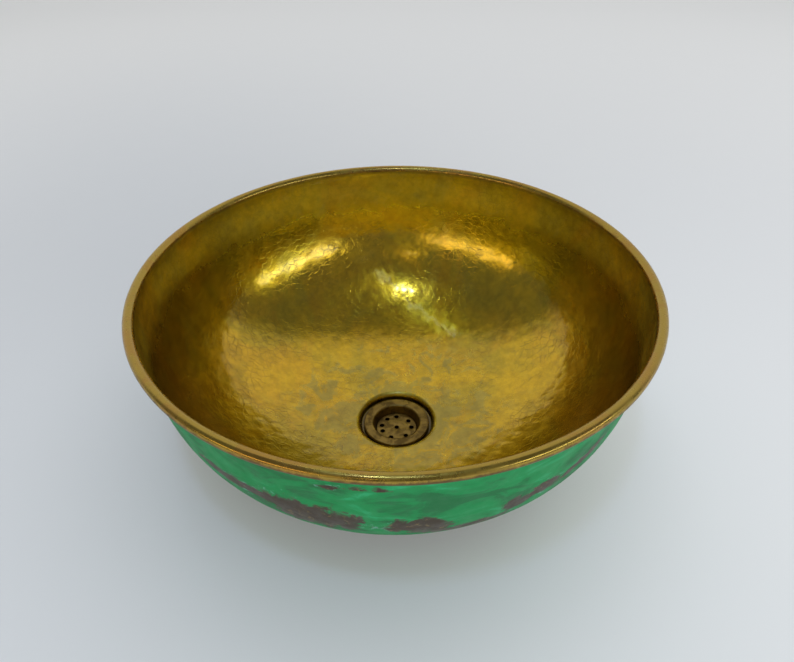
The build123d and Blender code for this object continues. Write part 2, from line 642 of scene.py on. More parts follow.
@dataclass(frozen=True)
class HammeredBrass:
    """Raised brass, planished by hand and tarnished where water stands, with painted shade in its
    recess and along its cracks.

    A grain is the size of a pattern's patches. Grains, pitches, depths, radii and
    levels are in millimetres.
    """

    olive: Colour = (0.47, 0.325, 0.018)
    gold: Colour = (0.64, 0.40, 0.012)
    orange: Colour = (0.60, 0.31, 0.012)
    tarnish: Colour = (0.46, 0.36, 0.065)
    # real water stains, and painted shade along the cracks
    stain_and_crack_shade: Colour = (0.20, 0.13, 0.045)
    # dark of the narrow band just under the rim, and painted shade in the recess round the waste
    band_and_recess_shade: Colour = (0.055, 0.036, 0.014)
    greener: Colour = (1.04, 1.20, 2.2)  # what the upper wall's colour is multiplied by
    broad_grain: float = 62.0
    warm_grain: float = 95.0
    blotch_grain: float = 23.0
    speck_grain: float = 3.2
    spot_grain: float = 27.0
    mottle_grain: float = 7.5
    crackle_pitch: float = 4.6
    crackle_depth: float = 0.055
    crack_pitch: float = 6.4
    crack_depth: float = 0.045
    # how dark the painted shade along the cracks is
    crack_shade_share: float = 0.17
    # radius of the recess, inside which painted shade darkens the sheet
    recess_radius: float = 31.0
    floor_radius: float = 118.0
    floor_fade: float = 75.0
    green_levels: Point = (45.0, 115.0)
    upper_wall: float = 112.0
    upper_fade: float = 26.0
    roughness: float = 0.20
    coat: float = 0.55
    coat_roughness: float = 0.10

    def make(self) -> bpy.types.Material:
        """The material.

        Returns:
            The finished material.
        """
        b = MaterialBench("hammered_brass")
        p = b.place_of
        wet = b.span(b.radius(), self.floor_radius * MM, (self.floor_radius - self.floor_fade) * MM)
        broad = b.noise(p, self.broad_grain, 3, 0.6, 0.6)
        blotch = b.noise(p, self.blotch_grain, 6, 0.68, 0.8)
        speck = b.noise(p, self.speck_grain, 3, 0.6)
        warm = b.span(b.noise(p, self.warm_grain, 4, 0.6, 1.2), 0.47, 0.66)
        colour = b.tint(b.span(broad, 0.36, 0.62), self.olive, self.gold)
        colour = b.tint(b.times(warm, 0.5), colour, self.orange)
        edge = b.plus(blotch, b.times(wet, 0.085))
        edge = b.plus(edge, b.times(b.less(speck, 0.5), 0.10))
        film = b.times(b.span(edge, 0.50, 0.68), 0.55)
        dull = b.plus(film, b.span(edge, 0.585, 0.605, 0.0, 0.45))
        dull = b.times(dull, b.span(wet, 0.0, 0.35, 0.12, 0.70))
        colour = b.tint(dull, colour, self.tarnish)
        spots = b.span(b.noise(p, self.spot_grain, 5, 0.7, 1.5), 0.655, 0.71)
        colour = b.tint(b.times(spots, b.times(wet, 0.6)), colour, self.stain_and_crack_shade)
        colour = b.shade(colour, b.vary(p, self.mottle_grain, 0.86, 1.12, rough=0.7))
        # A narrow band just under the rim is made darker, and painted shade darkens the recess
        # round the waste's flange.
        under_rim_band = b.span(b.height(), (RIM_LEVEL - 3.0) * MM, (RIM_LEVEL - 0.8) * MM, 0.0, 0.45)
        recess_shade_edge = (self.recess_radius + 1.6) * MM
        recess_shade = b.span(b.radius(), recess_shade_edge, self.recess_radius * MM, 0.0, 0.9)
        colour = b.tint(b.maths("MAXIMUM", under_rim_band, recess_shade), colour, self.band_and_recess_shade)
        greener = b.span(b.height(), *(level * MM for level in self.green_levels))
        colour = b.tint(greener, colour, b.tint(1.0, colour, self.greener, "MULTIPLY"))
        rough = b.vary(p, 20, self.roughness - 0.05, self.roughness + 0.06)
        rough = b.plus(rough, b.times(dull, 0.16))
        rough = b.plus(rough, b.times(wet, 0.05))
        top = (self.upper_wall + self.upper_fade) * MM
        rough = b.plus(rough, b.span(b.height(), self.upper_wall * MM, top, 0.0, 0.20))
        crackle = b.cells(b.jitter(p, 9, 1.6), self.crackle_pitch)
        normal = b.relief(b.times(crackle, crackle), self.crackle_depth)
        cracks = b.cells(b.jitter(p, 5, 1.2), self.crack_pitch, "DISTANCE_TO_EDGE")
        unbroken = b.span(b.noise(p, 30, 2), 0.44, 0.56)
        cracks = b.maths("MAXIMUM", b.span(cracks, 0.0, 0.07), unbroken)
        # Painted shade: dark lines along the cracks stand in for the shade of the hammer ridges in
        # the highlights.
        lines = b.maths("MULTIPLY_ADD", cracks, -self.crack_shade_share, self.crack_shade_share)
        colour = b.tint(lines, colour, self.stain_and_crack_shade)
        normal = b.relief(cracks, self.crack_depth, normal)
        normal = b.relief(b.noise(p, 0.9, 3, 0.6), 0.010, normal)
        b.shader.inputs["Coat Weight"].default_value = self.coat
        b.shader.inputs["Coat Roughness"].default_value = self.coat_roughness
        return b.dress(colour, rough, normal)


@dataclass(frozen=True)
class WornRimBrass:
    """The rolled edge, rubbed bright on top and brown underneath."""

    worn: Colour = (0.41, 0.28, 0.055)
    copper: Colour = (0.41, 0.23, 0.055)
    brown: Colour = (0.16, 0.10, 0.045)
    patch_grain: float = 34.0
    dirt_grain: float = 2.4
    ragged_grain: float = 9.0
    ragged_reach: float = 9.0
    roughness: float = 0.23

    def make(self) -> bpy.types.Material:
        """The material.

        Returns:
            The finished material.
        """
        b = MaterialBench("worn_rim_brass")
        p = b.place_of
        patch = b.span(b.noise(p, self.patch_grain, 4, 0.62, 0.6), 0.47, 0.60)
        colour = b.tint(b.times(patch, 0.7), self.worn, self.copper)
        ragged = b.less(b.noise(p, self.ragged_grain, 5, 0.7), 0.5)
        level = b.plus(b.height(), b.times(ragged, self.ragged_reach * MM))
        under = b.span(level, (RIM_LEVEL + 1.6) * MM, (RIM_LEVEL - 1.0) * MM)
        colour = b.tint(b.times(under, 0.85), colour, self.brown)
        dirt = b.span(b.noise(p, self.dirt_grain, 4, 0.7), 0.56, 0.72, 0.0, 0.45)
        colour = b.tint(dirt, colour, self.brown)
        rough = b.vary(p, 14, self.roughness - 0.06, self.roughness + 0.12, rough=0.65)
        rough = b.plus(rough, b.times(under, 0.2))
        normal = b.relief(b.noise(p, 5.5, 3, 0.5), 0.06)
        normal = b.relief(b.noise(p, 0.8, 3, 0.6), 0.012, normal)
        return b.dress(colour, rough, normal)


@dataclass(frozen=True)
class GreenPatina:
    """Emerald patina on the outside, worn and burnt through to brown metal."""

    emerald: Colour = (0.009, 0.235, 0.066)
    deep: Colour = (0.012, 0.140, 0.044)
    fresh: Colour = (0.022, 0.340, 0.130)
    verdigris: Colour = (0.22, 0.50, 0.42)
    brown: Colour = (0.085, 0.060, 0.040)
    glint: Colour = (0.36, 0.25, 0.09)
    cloud_grain: float = 38.0
    smear_grain: float = 11.0
    ragged_grain: float = 13.0
    crust_grain: float = 4.5
    rub_grain: float = 6.0
    edge_depth: float = 0.10
    dent_pitch: float = 8.5
    dent_depth: float = 0.07

    def make(self) -> bpy.types.Material:
        """The material, bare where the mesh's "bare" attribute says.

        Returns:
            The finished material.
        """
        b = MaterialBench("green_patina")
        p = b.place_of
        bare = b.place("ShaderNodeAttribute", attribute_name="bare").outputs["Fac"]
        ragged = b.less(b.noise(p, self.ragged_grain, 6, 0.68, 0.5), 0.5)
        bare = b.plus(bare, b.times(ragged, 1.15))
        mask = b.span(bare, 0.45, 0.59)
        halo = b.span(bare, 0.36, 0.49)
        brush = b.along("MULTIPLY", p, (1.0, 1.0, 2.2))
        cloud = b.noise(brush, self.cloud_grain, 5, 0.62, 0.7)
        colour = b.tint(b.span(cloud, 0.36, 0.52), self.deep, self.emerald)
        colour = b.tint(b.span(cloud, 0.53, 0.70), colour, self.fresh)
        smear = b.span(b.noise(brush, self.smear_grain, 5, 0.7, 1.0), 0.60, 0.72, 0.0, 0.55)
        colour = b.tint(smear, colour, self.deep)
        crust = b.span(b.noise(p, self.crust_grain, 4, 0.7), 0.50, 0.62)
        pale = b.times(b.less(halo, mask), crust, clamp=True)
        pale = b.times(pale, b.span(b.noise(p, 45, 2), 0.50, 0.60))
        colour = b.tint(b.times(pale, 0.8), colour, self.verdigris)
        rubbed = b.span(b.noise(p, self.rub_grain, 5, 0.72, 0.8), 0.56, 0.68, 0.0, 0.6)
        colour = b.tint(mask, colour, b.tint(rubbed, self.brown, self.glint))
        rough = b.less(b.vary(p, 10, 0.50, 0.66), b.times(mask, 0.14))
        normal = b.relief(b.less(1.0, mask), self.edge_depth)
        normal = b.relief(b.noise(p, 2.2, 5, 0.65), 0.06, normal)
        dents = b.cells(b.jitter(p, 9, 1.6), self.dent_pitch)
        normal = b.relief(b.times(dents, dents), self.dent_depth, normal)
        b.shader.inputs["Specular IOR Level"].default_value = 0.28
        return b.dress(colour, rough, normal, b.times(mask, 0.75))


@dataclass(frozen=True)
class LatheBrass:
    """Brass from the lathe, with its fine tool lines and the tarnish on it."""

    name: str
    bright: Colour
    dark: Colour
    roughness: float
    tarnish: float
    film_grain: float = 9.0
    streak_grain: float = 3.5
    line_pitch: float = 0.35
    line_depth: float = 0.004

    def make(self) -> bpy.types.Material:
        """The material.

        Returns:
            The finished material.
        """
        b = MaterialBench(self.name)
        p = b.place_of
        film = b.noise(p, self.film_grain, 5, 0.66, 0.6)
        share = b.span(film, 0.62 - self.tarnish * 0.3, 0.74 - self.tarnish * 0.25)
        colour = b.tint(b.times(share, 0.85), self.bright, self.dark)
        drawn_out = b.along("MULTIPLY", p, (0.25, 0.25, 3.0))
        colour = b.shade(colour, b.vary(drawn_out, self.streak_grain, 0.85, 1.1))
        rough = b.vary(p, 5, self.roughness - 0.06, self.roughness + 0.08)
        rough = b.plus(rough, b.times(share, 0.12))
        reach = b.plus(b.radius(), b.height())
        line = b.maths("SINE", b.times(reach, tau / (self.line_pitch * MM)))
        normal = b.relief(b.maths("MULTIPLY_ADD", line, 0.5, 0.5), self.line_depth)
        normal = b.relief(b.noise(p, 1.1, 4, 0.65), 0.02, normal)
        return b.dress(colour, rough, normal)


@dataclass(frozen=True)
class DrawnSteel:
    """The wire in the rim, drawn and lightly rusted."""

    steel: Colour = (0.33, 0.32, 0.30)
    rust: Colour = (0.16, 0.065, 0.030)

    def make(self) -> bpy.types.Material:
        """The material.

        Returns:
            The finished material.
        """
        b = MaterialBench("drawn_steel")
        p = b.place_of
        rust = b.span(b.noise(p, 7, 5, 0.7), 0.52, 0.64)
        colour = b.tint(rust, self.steel, self.rust)
        rough = b.maths("MULTIPLY_ADD", rust, 0.4, 0.35)
        metallic = b.maths("MULTIPLY_ADD", rust, -0.8, 1.0)
        return b.dress(colour, rough, b.relief(b.noise(p, 1.2, 4), 0.03), metallic)


@dataclass(frozen=True)
class MouldedRubber:
    """Black rubber with a dusty bloom."""

    black: Colour = (0.014, 0.014, 0.015)
    bloom: Colour = (0.060, 0.058, 0.055)

    def make(self) -> bpy.types.Material:
        """The material.

        Returns:
            The finished material.
        """
        b = MaterialBench("moulded_rubber")
        p = b.place_of
        bloom = b.span(b.noise(p, 6, 5, 0.7), 0.42, 0.68, 0.0, 0.8)
        colour = b.tint(bloom, self.black, self.bloom)
        rough = b.maths("MULTIPLY_ADD", bloom, 0.2, 0.55)
        return b.dress(colour, rough, b.relief(b.noise(p, 0.7, 4, 0.7), 0.02), 0.0)


@dataclass(frozen=True)
class CutNylon:
    """Off-white nylon, cut from sheet."""

    white: Colour = (0.74, 0.72, 0.65)
    grubby: Colour = (0.46, 0.43, 0.36)

    def make(self) -> bpy.types.Material:
        """The material.

        Returns:
            The finished material.
        """
        b = MaterialBench("cut_nylon")
        p = b.place_of
        dirt = b.span(b.noise(p, 8, 5, 0.7), 0.52, 0.74, 0.0, 0.6)
        colour = b.tint(dirt, self.white, self.grubby)
        rough = b.maths("MULTIPLY_ADD", dirt, 0.15, 0.42)
        b.shader.inputs["Subsurface Weight"].default_value = 0.15
        b.shader.inputs["Subsurface Scale"].default_value = 0.001
        return b.dress(colour, rough, b.relief(b.noise(p, 0.6, 3), 0.012), 0.0)


@dataclass(frozen=True)
class PaleTable:
    """The pale table, with painted shade that makes it darker and cooler on one side and painted
    light that makes it whiter far away.
    """

    pale: Colour = (0.74, 0.745, 0.75)
    cool: Colour = (0.63, 0.65, 0.675)
    painted_far_light: Colour = (0.93, 0.93, 0.93)
    lit_side: Triple = (1.0, 0.3, 0.0)
    far: Point = (0.35, 1.6)  # metres from the axis over which the painted light whitens it

    def make(self) -> bpy.types.Material:
        """The material, clear from below so that the fittings show there.

        Returns:
            The finished material.
        """
        b = MaterialBench("pale_table")
        p = b.place_of
        # Painted light: the table is paler towards its lit side and darker and cooler on the other.
        side = b.span(b.along("DOT_PRODUCT", p, self.lit_side), -0.35, 0.45)
        colour = b.tint(side, self.cool, self.pale)
        # Painted light: the table grows whiter further from the axis.
        colour = b.tint(b.span(b.along("LENGTH", p), *self.far), colour, self.painted_far_light)
        rough = b.vary(p, 40, 0.50, 0.58, 3, 0.55)
        b.dress(colour, rough, b.relief(b.noise(p, 1.5, 3), 0.01), 0.0)
        b.shader.inputs["Specular IOR Level"].default_value = 0.25
        return b.clear_below()


@dataclass(frozen=True)
class PaintedDrainShade:
    """Painted shade: a dark disc that stands for the shade down inside the drain."""

    black: Colour = (0.006, 0.005, 0.004)
    lighter_shade: Colour = (0.016, 0.014, 0.012)

    def make(self) -> bpy.types.Material:
        """The material, clear from below.

        Returns:
            The finished material.
        """
        b = MaterialBench("painted_drain_shade")
        b.dress(b.tint(b.noise(b.place_of, 6, 3), self.black, self.lighter_shade), 0.7, None, 0.0)
        return b.clear_below()


# ---------------------------------------------------------------- geometry trees


def hammer_tree() -> bpy.types.NodeTree:
    """Hammer marks pressed into a sheet along its normals.

    Returns:
        The tree: it reads the attributes "hammer" and "skin" from the mesh.
    """
    t = ShapeTree("hammer_marks")
    pitch = t.ask("Pitch", "Float", 9.5 * MM)
    depth = t.ask("Depth", "Float", 0.1 * MM)
    sway = t.ask("Sway", "Float", 0.15 * MM)
    seed = t.ask("Seed", "Int", 7)
    finishes = [t.ask(name, "Material") for name in ("Inside", "Rim", "Outside")]
    strength = t.read("hammer")
    skin = t.read("skin", "INT")
    here = t.place("GeometryNodeInputPosition").outputs[0]
    shift = t.place("ShaderNodeCombineXYZ", {0: t.times(seed, 0.37)}).outputs[0]
    place = t.along("ADD", t.jitter(here, 14, 1.8), shift)
    scale = t.maths("DIVIDE", 1.0, pitch)
    inputs = {"Vector": place, "Scale": scale}
    cells = t.place("ShaderNodeTexVoronoi", inputs, feature="SMOOTH_F1")
    cells.inputs["Smoothness"].default_value = 0.12
    reach = cells.outputs["Distance"]
    dent = t.less(1.0, t.times(t.times(reach, reach), 2.2))
    press = t.times(t.less(t.maths("MAXIMUM", dent, 0.0), 0.55), depth)
    swell = t.times(t.less(t.noise(place, 55, 2), 0.5), sway)
    total = t.times(t.plus(press, swell), strength)
    normal = t.place("GeometryNodeInputNormal").outputs[0]
    move = t.along("SCALE", normal, scale=t.times(total, -1.0))
    inputs = {"Geometry": t.source.outputs["Geometry"], "Offset": move}
    shape = t.place("GeometryNodeSetPosition", inputs).outputs[0]
    chosen = {}
    for number, finish in enumerate(finishes):
        inputs = {2: skin, 3: number}
        same = t.place("FunctionNodeCompare", inputs, data_type="INT", operation="EQUAL")
        chosen[same.outputs[0]] = finish
    return t.close(shape, chosen)


def ring_tree() -> bpy.types.NodeTree:
    """A moulded ring: a rounded section swept round the axis.

    Returns:
        The tree. Nothing of the mesh that goes in is kept.
    """
    t = ShapeTree("moulded_ring")
    inner = t.ask("Inner radius", "Float", 0.02)
    outer = t.ask("Outer radius", "Float", 0.03)
    bottom = t.ask("Bottom", "Float", 0.0)
    top = t.ask("Top", "Float", 0.002)
    edge = t.ask("Edge", "Float", 0.0003)
    around = t.ask("Around", "Int", 128)
    finish = t.ask("Finish", "Material")
    width = t.less(outer, inner)
    thick = t.less(top, bottom)
    middle = t.times(t.plus(inner, outer), 0.5)
    level = t.times(t.plus(bottom, top), 0.5)
    path = t.place("GeometryNodeCurvePrimitiveCircle", {"Resolution": around, "Radius": middle})
    lift = t.place("ShaderNodeCombineXYZ", {2: level}).outputs[0]
    inputs = {"Geometry": path.outputs[0], "Offset": lift}
    path = t.place("GeometryNodeSetPosition", inputs).outputs[0]
    path = t.place("GeometryNodeSetCurveNormal", {"Curve": path}, mode="Z_UP").outputs[0]
    section = t.place("GeometryNodeCurvePrimitiveQuadrilateral", {0: width, 1: thick}).outputs[0]
    fillet = t.place("GeometryNodeFilletCurve", {"Curve": section}, mode="POLY")
    fillet.inputs["Count"].default_value = 4
    t.tree.links.new(edge, fillet.inputs["Radius"])
    inputs = {"Curve": path, "Profile Curve": fillet.outputs[0]}
    swept = t.place("GeometryNodeCurveToMesh", inputs).outputs[0]
    shaded = t.place("GeometryNodeSetShadeSmooth", {"Geometry": swept}).outputs[0]
    return t.close(shaded, {None: finish})


def thread_tree() -> bpy.types.NodeTree:
    """A right-hand pipe thread, as deep as the mesh's "thread" attribute says.

    Returns:
        The tree.
    """
    t = ShapeTree("pipe_thread")
    pitch = t.ask("Pitch", "Float", 2.309 * MM)
    depth = t.ask("Depth", "Float", 1.479 * MM)
    finish = t.ask("Finish", "Material")
    share = t.read("thread")
    here = t.place("GeometryNodeInputPosition").outputs[0]
    xyz = t.place("ShaderNodeSeparateXYZ", {0: here}).outputs
    turn = t.maths("DIVIDE", t.maths("ARCTAN2", xyz[1], xyz[0]), tau)
    rise = t.less(t.maths("DIVIDE", xyz[2], pitch), turn)
    wave = t.maths("PINGPONG", t.times(rise, 2.0), 1.0)
    flat = t.place("ShaderNodeMapRange", {0: wave, 1: 0.14, 2: 0.86, 3: 0.0, 4: 1.0}).outputs[0]
    cut = t.times(t.times(flat, depth), share)
    level = t.along("MULTIPLY", here, (1.0, 1.0, 0.0))
    inward = t.along("SCALE", t.along("NORMALIZE", level), scale=t.times(cut, -1.0))
    inputs = {"Geometry": t.source.outputs["Geometry"], "Offset": inward}
    shape = t.place("GeometryNodeSetPosition", inputs).outputs[0]
    return t.close(shape, {None: finish})


def burr_tree() -> bpy.types.NodeTree:
    """A raised burr round each hole of a plate: one small ring on every "hole" point.

    Returns:
        The tree. The "hole" points themselves are left out.
    """
    t = ShapeTree("hole_burrs")
    radius = t.ask("Hole radius", "Float", 2.1 * MM)
    wire = t.ask("Burr", "Float", 0.12 * MM)
    finish = t.ask("Finish", "Material")
    hole = t.read("hole", "BOOLEAN")
    inputs = {"Geometry": t.source.outputs["Geometry"], "Selection": hole}
    apart = t.place("GeometryNodeSeparateGeometry", inputs, domain="POINT").outputs
    path = t.place("GeometryNodeCurvePrimitiveCircle", {"Resolution": 24, "Radius": radius})
    round_ = t.place("GeometryNodeCurvePrimitiveCircle", {"Resolution": 6, "Radius": wire})
    inputs = {"Curve": path.outputs[0], "Profile Curve": round_.outputs[0]}
    burr = t.place("GeometryNodeCurveToMesh", inputs).outputs[0]
    burr = t.place("GeometryNodeSetShadeSmooth", {"Geometry": burr}).outputs[0]
    inputs = {"Points": apart[0], "Instance": burr}
    burrs = t.place("GeometryNodeInstanceOnPoints", inputs).outputs[0]
    joined = t.place("GeometryNodeJoinGeometry")
    t.tree.links.new(apart[1], joined.inputs[0])
    t.tree.links.new(burrs, joined.inputs[0])
    return t.close(joined.outputs[0], {None: finish})


# ---------------------------------------------------------------- the bowl


@dataclass(frozen=True)
class Patch:
    """A bare place on the outside of the bowl."""

    bearing: float  # degrees round from +X
    level: float  # millimetres over the countertop
    wide: float  # half its width along the sheet, in millimetres
    tall: float  # half its height along the sheet, in millimetres
    lean: float = 0.0  # degrees


@dataclass
class Ring:
    """One ring of the bowl's mesh, in millimetres."""

    radius: float
    level: float
    around: int
    skin: Skin
    hammer: float


@dataclass
class Basin:
    """The raised bowl: one sheet, rolled over the rim wire and stamped at its centre."""

    sheet: float = 1.2
    body_depth: float = 150.7
    fullness: float = 2.49  # the power of the wall's curve, 2 for an ellipse
    wall_radius: float = 193.2
    rim_level: float = RIM_LEVEL
    roll_centre: float = 199.0
    roll_radius: float = 2.8
    roll_sweep: float = 312.0  # degrees
    neck_height: float = 4.5
    flare: float = 2.9  # how far the wall opens out under the rim
    flare_height: float = 34.0
    rubbed: float = 0.04  # off the rolled edge
    hole_radius: float = SHANK_HOLE
    recess_underside: float = 2.0
    recess_rings: Point = (24.5, 27.8)  # more rings of the recess's floor
    underside_ring: float = 26.0  # one more ring under it
    foot_centre: Point = (30.8, 5.0)
    foot_bend: float = 3.0
    lip_radius: float = 37.4
    lip_bend: float = 3.6
    mark_pitch: float = 10.0
    mark_depth: float = 0.13
    mark_seed: int = 7
    sway: float = 0.30
    calm_radius: float = 38.0  # no hammering inside it
    calm_fade: float = 12.0
    calm_drop: float = 7.0  # and little this near the rim
    calm_share: float = 0.35
    inside_step: float = 2.35
    outside_step: float = 4.2
    girth: float = 188.0  # the radius on which the bare patches are laid out
    bare_foot: float = 64.0  # the level under which the outside grows bare
    foot_fade: float = 40.0
    unseen_patches: int = 17
    unseen_seed: int = 41
    unseen_start: float = -40.0  # degrees round from +X
    unseen_sweep: float = 268.0
    patches: tuple[Patch, ...] = (
        Patch(-107.0, 101.0, 36.0, 18.0, -7.0),
        Patch(-118.0, 109.0, 22.0, 6.5, -12.0),
        Patch(-95.5, 144.5, 15.0, 2.6),
        Patch(-101.7, 141.5, 9.0, 2.0),
        Patch(-86.0, 97.0, 21.0, 12.5),
        Patch(-66.5, 102.0, 10.0, 10.0, 10.0),
        Patch(-60.0, 109.0, 12.0, 9.0, 20.0),
        Patch(-74.0, 83.0, 32.0, 7.0, 4.0),
        Patch(-50.0, 116.0, 24.0, 5.0, 25.0),
        Patch(-127.0, 111.0, 24.0, 4.5, -16.0),
    )

    def wall(self, turn: float, depth: float) -> Point:
        """A point of the wall.

        Args:
            turn: How far round, from 0 at the rim plane to a quarter turn at the axis.
            depth: How deep in the sheet, from its outside.

        Returns:
            Its radius and level.
        """
        power = 2 / self.fullness
        radius = self.wall_radius * cos(turn) ** power
        drop = self.body_depth * sin(turn) ** power
        outward = Vector(
            (
                (radius / self.wall_radius) ** (self.fullness - 1) / self.wall_radius,
                -((drop / self.body_depth) ** (self.fullness - 1)) / self.body_depth,
            )
        ).normalized()
        rise = min(max(1 - drop / self.flare_height, 0.0), 1.0)
        radius += self.flare * rise * rise * (3 - 2 * rise)
        return radius - outward.x * depth, self.rim_level - drop - outward.y * depth

    def lip_turn(self) -> float:
        """How far round the wall the floor's lip is."""
        return acos((self.lip_radius / self.wall_radius) ** (self.fullness / 2))

    def lip_centre(self) -> Point:
        """The centre of the bend from the floor down into the recess."""
        return self.lip_radius, self.wall(self.lip_turn(), 0.0)[1] - self.lip_bend

    def wall_turns(self, step: float) -> list[float]:
        """The turns of evenly spaced points from the floor's lip up to the neck.

        Args:
            step: Their spacing in millimetres.

        Returns:
            The turns, the floor's first.
        """
        high = asin((self.neck_height / self.body_depth) ** (self.fullness / 2))
        fine = np.linspace(self.lip_turn(), high, 1200)
        places = np.array([self.wall(t, 0.0) for t in fine])
        run = np.concatenate([[0], np.cumsum(np.hypot(*np.diff(places, axis=0).T))])
        count = ceil(run[-1] / step)
        return list(np.interp(np.linspace(0, run[-1], count + 1), run, fine))

    @staticmethod
    def arc(centre: Point, radius: float, start: float, sweep: float, steps: int) -> list[Point]:
        """Points on an arc.

        Args:
            centre: Its centre.
            radius: Its radius.
            start: Its first angle in degrees.
            sweep: How far it turns, anticlockwise if positive.
            steps: Its runs.

        Returns:
            The points, both ends among them.
        """
        angles = [radians(start + sweep * k / steps) for k in range(steps + 1)]
        return [(centre[0] + radius * cos(a), centre[1] + radius * sin(a)) for a in angles]

    def neck(self, foot: Point, head: Point, steps: int, lead: float = 0.0) -> list[Point]:
        """Points up the neck, from the wall's top to the roll.

        Args:
            foot: Where the wall ends.
            head: Where the roll starts.
            steps: Its runs.
            lead: How much higher it turns, which keeps the sheet as thick.

        Returns:
            The points between the two.
        """
        pull = self.neck_height / 2
        posts = [foot, (foot[0], foot[1] + pull + lead), (head[0], head[1] - pull + lead), head]
        made = []
        for k in range(1, steps):
            t = k / steps
            share = [(1 - t) ** 3, 3 * t * (1 - t) ** 2, 3 * t * t * (1 - t), t**3]
            made.append(tuple(sum(s * q[i] for s, q in zip(share, posts)) for i in (0, 1)))
        return made

    def rings(self) -> list[Ring]:
        """The whole closed section, ring by ring.

        Returns:
            From the waste hole up the inside, over the rim and back down the outside.
        """
        lip, roll = self.lip_centre(), (self.roll_centre, self.rim_level)
        outer = self.roll_radius + self.sheet - self.rubbed
        floor = self.recess_underside + self.sheet
        inside = [(radius, floor) for radius in (self.hole_radius, *self.recess_rings)]
        inside += self.arc(self.foot_centre, self.foot_bend - self.sheet, 270, 90, 5)
        inside += self.arc(lip, self.lip_bend + self.sheet, 180, -90, 7)
        inside += [self.wall(t, self.sheet) for t in self.wall_turns(self.inside_step)[1:]]
        inside += self.neck(inside[-1], (self.roll_centre - outer, self.rim_level), 7, self.sheet)
        rim = self.arc(roll, outer, 180, -self.roll_sweep, 22)
        hidden = self.arc(roll, self.roll_radius, 180 - self.roll_sweep, self.roll_sweep, 12)
        turns = self.wall_turns(self.outside_step)
        head = (self.roll_centre - self.roll_radius, self.rim_level)
        outside = self.neck(self.wall(turns[-1], 0.0), head, 4)[::-1]
        outside += [self.wall(t, 0.0) for t in turns[:0:-1]]
        outside += self.arc(lip, self.lip_bend, 90, 90, 4)
        outside += self.arc(self.foot_centre, self.foot_bend, 0, -90, 6)
        outside += [(r, self.recess_underside) for r in (self.underside_ring, self.hole_radius)]
        made = [self.ring(p, Skin.INSIDE, 1.0) for p in inside]
        made += [self.ring(p, Skin.RIM, 0.25) for p in rim]
        made += [self.ring(p, Skin.RIM, 0.0, 300) for p in hidden]
        made += [self.ring(p, Skin.OUTSIDE, 0.8, 300 if p[0] > 90 else 150) for p in outside]
        return made

    def ring(self, place: Point, skin: Skin, hammer: float, around: int = 0) -> Ring:
        """One ring, with fewer faces round it near the axis and no hammering in the recess.

        Args:
            place: Its radius and level.
            skin: Its finish.
            hammer: How much of the hammering it takes.
            around: Faces round it, or 0 to go by its radius.

        Returns:
            The ring.
        """
        radius, level = place
        around = around or (600 if radius > 105 else 300 if radius > 33 else 150)
        calm = min(1.0, max(0.0, (radius - self.calm_radius) / self.calm_fade))
        if level > self.rim_level - self.calm_drop:
            calm *= self.calm_share
        return Ring(radius, level, around, skin, hammer * calm)

    def mesh(self) -> bpy.types.Mesh:
        """The smooth bowl with its "hammer", "skin" and "bare" attributes.

        Returns:
            The closed mesh in metres.
        """
        rings = self.rings()
        starts = np.concatenate([[0], np.cumsum([r.around for r in rings])]).tolist()
        place, hammer, faces, skins = [], [], [], []
        for r in rings:
            angle = np.arange(r.around) * tau / r.around
            level = np.full(r.around, r.level)
            place.append(np.stack([r.radius * np.cos(angle), r.radius * np.sin(angle), level], 1))
            hammer += [r.hammer] * r.around
        for k, here in enumerate(rings):
            n = (k + 1) % len(rings)
            bridge = self.bridge(starts[k], here.around, starts[n], rings[n].around)
            faces += [face[::-1] for face in bridge]
            skins += [int(here.skin)] * len(bridge)
        points = np.concatenate(place)
        mesh = mesh_of("basin_bowl", (points * MM).tolist(), faces)
        mesh.attributes.new("hammer", "FLOAT", "POINT").data.foreach_set("value", hammer)
        mesh.attributes.new("bare", "FLOAT", "POINT").data.foreach_set("value", self.bare(points))
        mesh.attributes.new("skin", "INT", "FACE").data.foreach_set("value", skins)
        smooth(mesh, 60)
        return mesh

    @staticmethod
    def bridge(first: int, count: int, second: int, other: int) -> list[tuple[int, ...]]:
        """Faces between two rings that are alike, or of which one has twice the points.

        Args:
            first: The first ring's first point.
            count: How many points it has.
            second: The second ring's first point.
            other: How many points that has.

        Returns:
            The faces, outwards where the section runs anticlockwise.
        """
        faces: list[tuple[int, ...]] = []
        if count == other:
            for k in range(count):
                n = (k + 1) % count
                faces.append((first + k, first + n, second + n, second + k))
        elif count == 2 * other:
            for k in range(other):
                a, b, c = first + 2 * k, first + 2 * k + 1, first + (2 * k + 2) % count
                d, e = second + k, second + (k + 1) % other
                faces += [(a, b, d), (b, e, d), (b, c, e)]
        else:
            for k in range(count):
                a, b = first + k, first + (k + 1) % count
                c, d, e = second + 2 * k, second + 2 * k + 1, second + (2 * k + 2) % other
                faces += [(a, d, c), (a, b, d), (b, e, d)]
        return faces

